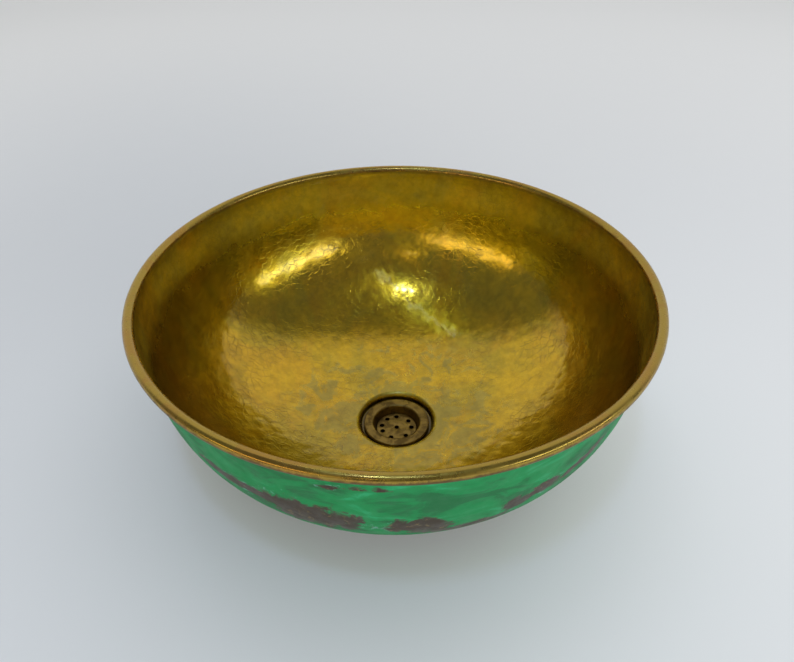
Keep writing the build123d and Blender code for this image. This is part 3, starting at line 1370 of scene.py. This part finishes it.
    def bare(self, points: np.ndarray) -> np.ndarray:
        """How bare of patina each point is, from 0 to 1.

        Args:
            points: Places in millimetres.

        Returns:
            One number for each.
        """
        rng = random.Random(self.unseen_seed)
        patches = list(self.patches)
        for k in range(self.unseen_patches):
            share = (k + rng.uniform(0.1, 0.9)) / self.unseen_patches
            bearing = self.unseen_start + self.unseen_sweep * share
            level, wide, tall = rng.uniform(62, 112), rng.uniform(14, 34), rng.uniform(6, 15)
            patches.append(Patch(bearing, level, wide, tall, rng.uniform(-18, 18)))
        bearing = np.arctan2(points[:, 1], points[:, 0])
        total = np.zeros(len(points))
        for patch in patches:
            across = ((bearing - radians(patch.bearing) + pi) % tau - pi) * self.girth
            rise = points[:, 2] - patch.level
            lean = radians(patch.lean)
            u = (across * cos(lean) + rise * sin(lean)) / patch.wide
            v = (-across * sin(lean) + rise * cos(lean)) / patch.tall
            total = np.maximum(total, 1.0 - 0.5 * np.sqrt(u * u + v * v))
        foot = np.clip((self.bare_foot - points[:, 2]) / self.foot_fade, 0.0, 1.0)
        return np.maximum(np.clip(total, 0.0, 1.0), foot * 0.75)

    def build(self) -> None:
        """Makes the bowl, hammers it and dresses it, and dresses the wire in its rim."""
        finishes = [HammeredBrass().make(), WornRimBrass().make(), GreenPatina().make()]
        bowl = link("basin_bowl", self.mesh(), *finishes)
        values = {
            "Pitch": self.mark_pitch * MM,
            "Depth": self.mark_depth * MM,
            "Sway": self.sway * MM,
            "Seed": self.mark_seed,
            "Inside": finishes[Skin.INSIDE],
            "Rim": finishes[Skin.RIM],
            "Outside": finishes[Skin.OUTSIDE],
        }
        settle(bowl, hammer_tree(), values)
        fit(bowl, Part.BASIN, "basin_shell")
        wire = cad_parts["rim_wire"]
        wire.material_slots[0].material = DrawnSteel().make()
        log.info("rim_wire: CAD node, %d faces, dressed", len(wire.data.polygons))


# ---------------------------------------------------------------- the waste


@dataclass
class Waste:
    """The turned waste and the loose strainer in its dish."""

    shank_radius: float = 20.955
    shank_chamfer: float = 1.2
    bore_radius: float = 17.0
    shank_end: float = -62.0
    flange_radius: float = 29.3
    flange_round: float = 1.1
    flange_rings: tuple[float, ...] = (1.3, 2.2, 3.1, 4.0, 4.9)  # in from its edge
    flange_top: float = 7.2
    flange_underside: float = 4.7
    dish_radius: float = 20.7
    dish_lip: float = 2.3
    seat_radius: float = 18.4
    ledge: float = -2.4
    edge_round: float = 0.4
    turned_faces: int = 120
    thread_pitch: float = 2.309
    thread_depth: float = 1.479
    thread_top: float = -0.5
    thread_runout: float = 2.0
    rows_per_turn: int = 9
    strainer_radius: float = 18.05
    strainer_thickness: float = 2.0
    strainer_ease: float = 0.3
    strainer_faces: int = 96
    hole_radius: float = 1.95
    hole_ring: float = 13.5
    hole_bearings: tuple[float, ...] = (36, 90, 129, 170, 200, 248, 308, 359)
    hole_faces: int = 28
    burr_radius: float = 2.27
    burr: float = 0.11

    def body_mesh(self) -> bpy.types.Mesh:
        """The turned body with fine rows on its shank, and its "thread" attribute.

        Returns:
            The closed mesh in metres.
        """
        corners = [
            (self.shank_radius, self.flange_underside, 0.0),
            (self.flange_radius, self.flange_underside, 0.35),
            (self.flange_radius, self.flange_top, self.flange_round),
            *[(self.flange_radius - inset, self.flange_top, 0.0) for inset in self.flange_rings],
            (self.dish_radius, self.flange_top, self.dish_lip),
            (self.seat_radius, self.ledge, 0.35),
            (self.bore_radius, self.ledge, self.edge_round),
            (self.bore_radius, self.shank_end, self.edge_round),
            (self.shank_radius - self.shank_chamfer, self.shank_end, 0.0),
            (self.shank_radius, self.shank_end + self.shank_chamfer, 0.0),
        ]
        points = rounded(corners, 6)
        dense: list[Point] = []
        for (r, z), (r2, z2) in zip(points, points[1:] + points[:1]):
            dense.append((r, z))
            if min(r, r2) > self.shank_radius - 0.01 and z2 > z + 20:
                count = ceil((z2 - z) / (self.thread_pitch / self.rows_per_turn))
                dense += [(r, z + (z2 - z) * k / count) for k in range(1, count)]
        mesh = turned("waste_body_turned", dense, self.turned_faces)
        place = np.empty(len(mesh.vertices) * 3)
        mesh.vertices.foreach_get("co", place)
        place = place.reshape(-1, 3) / MM
        radius = np.hypot(place[:, 0], place[:, 1])
        share = np.clip((self.thread_top - place[:, 2]) / self.thread_runout, 0.0, 1.0)
        share *= np.clip((place[:, 2] - self.shank_end) / self.shank_chamfer, 0.0, 1.0)
        share *= radius > self.shank_radius - 0.3
        mesh.attributes.new("thread", "FLOAT", "POINT").data.foreach_set("value", share)
        smooth(mesh, 28)
        return mesh

    def holes(self) -> list[Point]:
        """Centres of the strainer's holes, in millimetres."""
        turns = [radians(a) for a in self.hole_bearings]
        return [(0.0, 0.0)] + [(self.hole_ring * cos(a), self.hole_ring * sin(a)) for a in turns]

    def plate_mesh(self) -> bpy.types.Mesh:
        """The drilled plate with rounded holes and its "hole" points over their centres.

        Returns:
            The mesh in metres.
        """
        top = self.ledge + self.strainer_thickness
        holes = self.holes()
        loops = [circle((0.0, 0.0), self.strainer_radius, self.strainer_faces)]
        loops += [circle(hole, self.hole_radius, self.hole_faces) for hole in holes]
        vertices: list[Triple] = []
        faces: list[tuple[int, ...]] = []
        under: list[list[int]] = []
        over: list[list[int]] = []
        for number, (loop, (cx, cy)) in enumerate(zip(loops, [(0.0, 0.0), *holes])):
            rows = []
            for level, inset in self.eased(self.ledge, top, self.strainer_ease):
                rows.append(list(range(len(vertices), len(vertices) + len(loop))))
                for x, y in loop:
                    reach = hypot(x - cx, y - cy)
                    moved = reach + inset if number else reach - inset
                    here = (cx + (x - cx) * moved / reach, cy + (y - cy) * moved / reach, level)
                    vertices.append(here)
            for low, high in zip(rows, rows[1:]):
                for k in range(len(loop)):
                    n = (k + 1) % len(loop)
                    quad = (low[k], low[n], high[n], high[k])
                    faces.append(quad[::-1] if number else quad)
            under.append(rows[0])
            over.append(rows[-1])
        faces += self.sheet_faces(vertices, under, False) + self.sheet_faces(vertices, over, True)
        flags = [False] * len(vertices) + [True] * len(holes)
        vertices += [(x, y, top) for x, y in holes]
        places = [tuple(c * MM for c in v) for v in vertices]
        mesh = mesh_of("strainer_plate_drilled", places, faces)
        mesh.attributes.new("hole", "BOOLEAN", "POINT").data.foreach_set("value", flags)
        smooth(mesh, 50)
        return mesh

    @staticmethod
    def eased(bottom: float, top: float, ease: float) -> list[Point]:
        """Rows up an edge whose two corners are rounded.

        Args:
            bottom: The edge's lowest level.
            top: Its highest.
            ease: The corners' radius.

        Returns:
            Level and inset of each row.
        """
        turns = [pi / 2 * k / 3 for k in range(4)]
        rows = [(bottom + ease - ease * cos(a), ease * (1 - sin(a))) for a in turns]
        return rows + [(top - ease + ease * sin(a), ease * (1 - cos(a))) for a in turns]

    @staticmethod
    def sheet_faces(
        vertices: list[Triple], rows: list[list[int]], up: bool
    ) -> list[tuple[int, ...]]:
        """Triangles of a flat face with holes in it.

        Args:
            vertices: All the mesh's places.
            rows: The outline's points, and each hole's.
            up: Whether the face looks up.

        Returns:
            The triangles.
        """
        index = [k for row in rows for k in row]
        flat = [Vector(vertices[k][:2]) for k in index]
        edges, start = [], 0
        for row in rows:
            count = len(row)
            edges += [(start + k, start + (k + 1) % count) for k in range(count)]
            start += count
        places, _, triangles, origin, _, _ = delaunay_2d_cdt(flat, edges, [], 0, 1e-6)
        hole_rows = [[Vector(vertices[k][:2]) for k in row] for row in rows[1:]]
        middles = [sum(row, Vector((0, 0))) / len(row) for row in hole_rows]
        reaches = [(row[0] - middle).length for row, middle in zip(hole_rows, middles)]
        made = []
        for triangle in triangles:
            centre = sum((places[k] for k in triangle), Vector((0, 0))) / 3
            if any((centre - m).length < r * 0.999 for m, r in zip(middles, reaches)):
                continue
            corners = [index[origin[k][0]] for k in triangle]
            a, b, c = (places[k] for k in triangle)
            anticlockwise = (b - a).cross(c - a) > 0
            made.append(tuple(corners if anticlockwise == up else corners[::-1]))
        return made

    def build(self) -> None:
        """Makes and dresses the body and the strainer."""
        bright, dark = (0.29, 0.19, 0.050), (0.14, 0.088, 0.026)
        antique = LatheBrass("antique_brass", bright, dark, roughness=0.36, tarnish=0.6).make()
        body = link("waste_body_turned", self.body_mesh(), antique)
        values = {
            "Pitch": self.thread_pitch * MM,
            "Depth": self.thread_depth * MM,
            "Finish": antique,
        }
        settle(body, thread_tree(), values)
        smooth(body.data, 28)
        fit(body, Part.BASIN, "waste_body")
        plate = link("strainer_plate_drilled", self.plate_mesh(), antique)
        values = {"Hole radius": self.burr_radius * MM, "Burr": self.burr * MM, "Finish": antique}
        settle(plate, burr_tree(), values)
        fit(plate, Part.STRAINER, "strainer_plate")


# ---------------------------------------------------------------- rings, nuts and tube


@dataclass
class FlatRing:
    """One flat ring of rubber or nylon, filling its CAD node's box."""

    node: str
    part: Part
    slot: Slot
    inner_radius: float
    edge: float

    def build(self, tree: bpy.types.NodeTree, finish: bpy.types.Material) -> None:
        """Makes the ring.

        Args:
            tree: The moulded ring's geometry tree.
            finish: Its material.
        """
        low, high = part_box(self.node)
        piece = link(f"{self.node}_moulded", bpy.data.meshes.new(self.node), finish)
        values = {
            "Inner radius": self.inner_radius * MM,
            "Outer radius": high.x,
            "Bottom": low.z,
            "Top": high.z,
            "Edge": self.edge * MM,
            "Around": 128,
            "Finish": finish,
        }
        settle(piece, tree, values)
        fit(piece, self.part, self.node)


@dataclass
class Seals:
    """The flat rings, and the thick washer with its tapered top."""

    rubber_taper: float = 2.0
    hole_radius: float = SHANK_HOLE

    def build(self) -> None:
        """Makes all the rings and washers."""
        rubber = MouldedRubber().make()
        nylon = CutNylon().make()
        tree = ring_tree()
        rings = [
            FlatRing("rest_gasket", Part.BASIN, Slot.RUBBER, 22.5, 0.35),
            FlatRing("flange_seal", Part.BASIN, Slot.RUBBER, SHANK_HOLE, 0.3),
            FlatRing("tail_washer", Part.BASIN, Slot.RUBBER, 17.0, 0.3),
            FlatRing("slip_washer", Part.WASHERS, Slot.NYLON, SHANK_HOLE, 0.2),
        ]
        for ring in rings:
            ring.build(tree, nylon if ring.slot is Slot.NYLON else rubber)
        low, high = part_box("counter_washer")
        bottom, top, outer = low.z / MM, high.z / MM, high.x / MM
        corners = [
            (self.hole_radius, bottom, 0.4),
            (outer, bottom, 0.5),
            (outer, top - self.rubber_taper, 0.6),
            (outer - self.rubber_taper, top, 0.6),
            (self.hole_radius, top, 0.4),
        ]
        mesh = turned("counter_washer_moulded", rounded(corners), 128)
        smooth(mesh, 60)
        washer = link("counter_washer_moulded", mesh, rubber)
        fit(washer, Part.WASHERS, "counter_washer")


@dataclass
class HexNut:
    """A hexagon nut with turned-off corners, and a collar or a floor."""

    node: str
    part: Part
    flat_radius: float
    bore_radius: float
    chamfer_drop: float = 1.6
    chamfer_inset: float = 0.25
    softness: float = 0.12  # of the edge between a flat and its chamfer
    mouth: float = 0.7
    floor_ease: float = 0.3
    collar: float = 0.0
    floor: float = 0.0
    floor_hole: float = 0.0
    around: int = 240

    def hexagon(self, angle: np.ndarray) -> np.ndarray:
        """How far out the six flats are.

        Args:
            angle: Bearings in radians.

        Returns:
            The radius at each, in millimetres.
        """
        away = (angle + pi / 6) % (pi / 3) - pi / 6
        return self.flat_radius / np.cos(away)

    def crowned(self, hexagon: np.ndarray, above: float, below: float) -> np.ndarray:
        """The hexagon's radius under the cones at the nut's ends.

        Args:
            hexagon: The flats' radius at each bearing.
            above: How far this level is above the nut's bottom.
            below: How far it is below its top.

        Returns:
            The radius at each bearing.
        """
        slope = (self.flat_radius / cos(pi / 6) - self.flat_radius) / self.chamfer_drop
        start = self.flat_radius - self.chamfer_inset
        upper = np.inf if self.collar else start + below * slope
        cone = np.minimum(start + above * slope, upper)
        near = np.clip((hexagon - cone) / self.softness, -30, 30)
        return hexagon - self.softness * np.log1p(np.exp(near))

    def rows(self, bottom: float, top: float, rim: float, angle: np.ndarray) -> list[tuple]:
        """The closed section, up the outside and down the bore.

        Args:
            bottom: The nut's lowest level.
            top: Its highest.
            rim: The collar's radius.
            angle: Bearings in radians.

        Returns:
            Each row's radius, one number or one for each bearing, and its level.
        """
        hexagon = self.hexagon(angle)
        bore, hole, ease = self.bore_radius, self.floor_hole, self.floor_ease
        hex_top = top - self.collar
        drops = np.linspace(0.0, self.chamfer_drop + 0.8, 11)
        levels = sorted({*(bottom + drops), *([] if self.collar else top - drops), hex_top})
        rows: list[tuple] = [(self.crowned(hexagon, z - bottom, top - z), z) for z in levels]
        if self.collar:
            ends = (rim - 2, hex_top, 0), (rim - 2, top, 0)
            corners = [ends[0], (rim, hex_top, 0.4), (rim, top, 0.4), ends[1]]
            rows += rounded(corners, 4)[1:-1]
        rows += [(bore + self.mouth, top), (bore, top - self.mouth)]
        if self.floor:
            shoulder = bottom + self.floor
            rows += [(bore, shoulder), (hole + ease, shoulder), (hole, shoulder - ease)]
            rows += [(hole, bottom + ease), (hole + ease, bottom)]
        else:
            rows += [(bore, bottom + self.mouth), (bore + self.mouth, bottom)]
        return rows

    def mesh(self) -> bpy.types.Mesh:
        """The nut's mesh.

        Returns:
            The closed mesh in metres.
        """
        low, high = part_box(self.node)
        angle = np.arange(self.around) * tau / self.around
        rows = self.rows(low.z / MM, high.z / MM, high.x / MM, angle)
        places, faces = [], []
        for k, (r, z) in enumerate(rows):
            level = np.full(self.around, z)
            places.append(np.stack([r * np.cos(angle), r * np.sin(angle), level], 1))
            after = (k + 1) % len(rows) * self.around
            faces += Basin.bridge(k * self.around, self.around, after, self.around)
        mesh = mesh_of(self.node, (np.concatenate(places) * MM).tolist(), faces)
        smooth(mesh, 26)
        return mesh

    def build(self, finish: bpy.types.Material) -> None:
        """Makes and dresses the nut.

        Args:
            finish: Its material.
        """
        piece = link(f"{self.node}_turned", self.mesh(), finish)
        fit(piece, self.part, self.node)


@dataclass
class Tailpiece:
    """The flanged tube that hangs from the shank."""

    tube_radius: float = 15.875
    wall: float = 1.0
    neck_radius: float = 16.275
    neck_end: float = -69.0
    flange_thickness: float = 1.5
    chamfer: float = 0.4

    def build(self, finish: bpy.types.Material) -> None:
        """Makes and dresses the tube.

        Args:
            finish: Its material.
        """
        low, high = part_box("tailpiece")
        bottom, top, rim = low.z / MM, high.z / MM, high.x / MM
        bore = self.tube_radius - self.wall
        corners = [
            (bore, bottom, 0.15),
            (self.tube_radius - self.chamfer, bottom, 0.1),
            (self.tube_radius, bottom + self.chamfer, 0.3),
            (self.tube_radius, self.neck_end - 0.3, 0.2),
            (self.neck_radius, self.neck_end, 0.15),
            (self.neck_radius, top - self.flange_thickness, 0.15),
            (rim, top - self.flange_thickness, 0.4),
            (rim, top, 0.4),
            (bore, top, 0.5),
        ]
        mesh = turned("tailpiece_turned", rounded(corners, 4), 128)
        smooth(mesh, 30)
        fit(link("tailpiece_turned", mesh, finish), Part.BASIN, "tailpiece")


@dataclass
class ClampFittings:
    """The two nuts and the tailpiece, in brass fresh from the lathe."""

    bore_radius: float = 21.005
    lock_flats: float = 25.0
    lock_collar: float = 2.0
    coupling_flats: float = 24.0
    coupling_floor: float = 3.0
    coupling_hole: float = 16.575

    def build(self) -> None:
        """Makes the three pieces."""
        bore = self.bore_radius
        lock = HexNut("lock_nut", Part.NUT, self.lock_flats, bore, collar=self.lock_collar)
        coupling = HexNut("coupling_nut", Part.BASIN, self.coupling_flats, bore)
        coupling.floor, coupling.floor_hole = self.coupling_floor, self.coupling_hole
        bright, dark = (0.62, 0.46, 0.17), (0.38, 0.26, 0.095)
        turned_brass = LatheBrass("turned_brass", bright, dark, roughness=0.24, tarnish=0.15).make()
        for fitting in (lock, coupling, Tailpiece()):
            fitting.build(turned_brass)


# ---------------------------------------------------------------- the studio


@dataclass(frozen=True)
class Lamp:
    """One soft lamp, aimed at the bowl."""

    name: str
    place: Triple  # metres
    along: Triple  # the way its long side runs
    size: Point  # metres along and across
    power: float
    colour: Colour = (1.0, 1.0, 1.0)
    mirrored: bool = True  # False for a lamp that shows in no metal
    aim: Triple = (0.0, 0.0, 0.08)  # metres

    def hang(self) -> None:
        """Makes the lamp."""
        data = bpy.data.lights.new(self.name, "AREA")
        data.shape = "RECTANGLE"
        data.size, data.size_y = self.size
        data.energy = self.power
        data.color = self.colour
        away = (Vector(self.place) - Vector(self.aim)).normalized()
        across = away.cross(Vector(self.along)).normalized()
        turn = Matrix((across.cross(away), across, away)).transposed()
        lamp = bpy.data.objects.new(self.name, data)
        lamp.matrix_world = Matrix.Translation(self.place) @ turn.to_4x4()
        lamp.visible_glossy = self.mirrored
        bpy.context.scene.collection.objects.link(lamp)


@dataclass
class Studio:
    """A pale table, soft light and the camera, with its sizes in metres."""

    camera_place: Triple = (0.0, -0.46342, 0.46605)
    camera_turn: Triple = (52.459, 0.385, -0.435)  # degrees
    lens: float = 32.418  # millimetres
    hole_radius: float = 0.0245
    table_radius: float = 6.0
    drain_shade_radius: float = 0.0148
    around: int = 96
    slant: Triple = (-0.39, 0.92, 0.0)
    level: Triple = (1.0, 0.0, 0.0)
    dim: Colour = (0.19, 0.195, 0.18)  # what the metal sees of the room
    bright: Colour = (0.74, 0.74, 0.74)  # and of the room's far side
    backdrop: Colour = (0.76, 0.76, 0.76)  # what the camera sees of it

    def lamps(self) -> list[Lamp]:
        """The lamps: five that show in the metal, and two that only light the table.

        Returns:
            The lamps, none of them made yet.
        """
        strip, bright = (0.66, 1.0, 1.3), (0.72, 1.0, 1.7)
        warm, cool, amber = (1.0, 0.85, 0.45), (0.88, 0.94, 1.0), (1.0, 0.76, 0.42)
        right, left = (0.85, 1.21, 0.0), (-1.1, 1.02, 0.0)
        return [
            Lamp("strip_lamp", (-0.12, -0.45, 2.0), self.slant, (2.2, 0.05), 1.4, strip),
            Lamp("bright_lamp", (-0.14, -0.74, 2.0), self.slant, (0.20, 0.12), 2.6, bright),
            Lamp("warm_lamp", (-0.26, -1.62, 1.14), self.slant, (0.18, 0.10), 0.28, warm),
            Lamp("right_panel", (1.43, -0.91, 0.72), right, (1.5, 0.22), 4.4, cool),
            Lamp("left_panel", (-1.15, -1.20, 0.62), left, (1.5, 0.24), 2.7, amber),
            Lamp("soft_lamp", (0.6, -0.1, 3.0), self.level, (3.5, 3.5), 34.0, mirrored=False),
            Lamp("front_lamp", (0.3, -2.4, 1.3), self.level, (3.0, 1.8), 40.0, mirrored=False),
        ]

    def world(self) -> None:
        """A soft room, bright beyond the bowl and dim elsewhere, and plain to the camera."""
        world = bpy.data.worlds.new("soft_room")
        bpy.context.scene.world = world
        world.use_nodes = True
        b = Bench(world.node_tree)
        world.node_tree.nodes.clear()
        away = b.place("ShaderNodeTexCoord").outputs["Generated"]
        xyz = b.place("ShaderNodeSeparateXYZ", {0: away}).outputs
        colour = b.tint(b.span(xyz[1], 0.12, 0.34), self.dim, self.bright)
        seen = b.place("ShaderNodeLightPath").outputs["Is Camera Ray"]
        colour = b.tint(seen, colour, self.backdrop)
        light = b.place("ShaderNodeBackground", {"Color": colour, "Strength": 1.0})
        b.place("ShaderNodeOutputWorld", {0: light.outputs[0]})

    def table(self) -> None:
        """The table's top with the hole for the shank, and below it a dark disc of painted shade
        down the drain.
        """
        n = self.around
        top = circle((0.0, 0.0), self.hole_radius, n) + circle((0.0, 0.0), self.table_radius, n)
        faces = [(k, n + k, n + (k + 1) % n, (k + 1) % n) for k in range(n)]
        mesh = mesh_of("table_top", [(x, y, 0.0) for x, y in top], faces)
        link("table_top", mesh, PaleTable().make())
        low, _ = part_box("tailpiece")
        # Painted shade: a dark disc low in the tailpiece stands for the shade down the drain.
        disc = [(x, y, low.z) for x, y in circle((0.0, 0.0), self.drain_shade_radius, n)]
        mesh = mesh_of("painted_drain_shade", disc, [tuple(range(n))])
        link("painted_drain_shade", mesh, PaintedDrainShade().make())

    def camera(self) -> None:
        """The camera, over the near side of the rim."""
        data = bpy.data.cameras.new("camera")
        data.lens = self.lens
        data.sensor_width = 36.0
        data.clip_start = 0.01
        camera = bpy.data.objects.new("camera", data)
        camera.location = self.camera_place
        camera.rotation_euler = [radians(a) for a in self.camera_turn]
        bpy.context.scene.collection.objects.link(camera)
        bpy.context.scene.camera = camera

    def build(self) -> None:
        """Makes the room, the lamps, the table and the camera."""
        self.world()
        lamps = self.lamps()
        for lamp in lamps:
            lamp.hang()
        self.table()
        self.camera()
        bpy.context.scene.view_settings.view_transform = "Standard"
        log.info("studio: %d lamps, camera and table", len(lamps))


def main() -> None:
    """Builds the basin from the bowl down to the tail, then the studio."""
    Basin().build()
    Waste().build()
    Seals().build()
    ClampFittings().build()
    Studio().build()


if __name__ == "__main__":
    main()
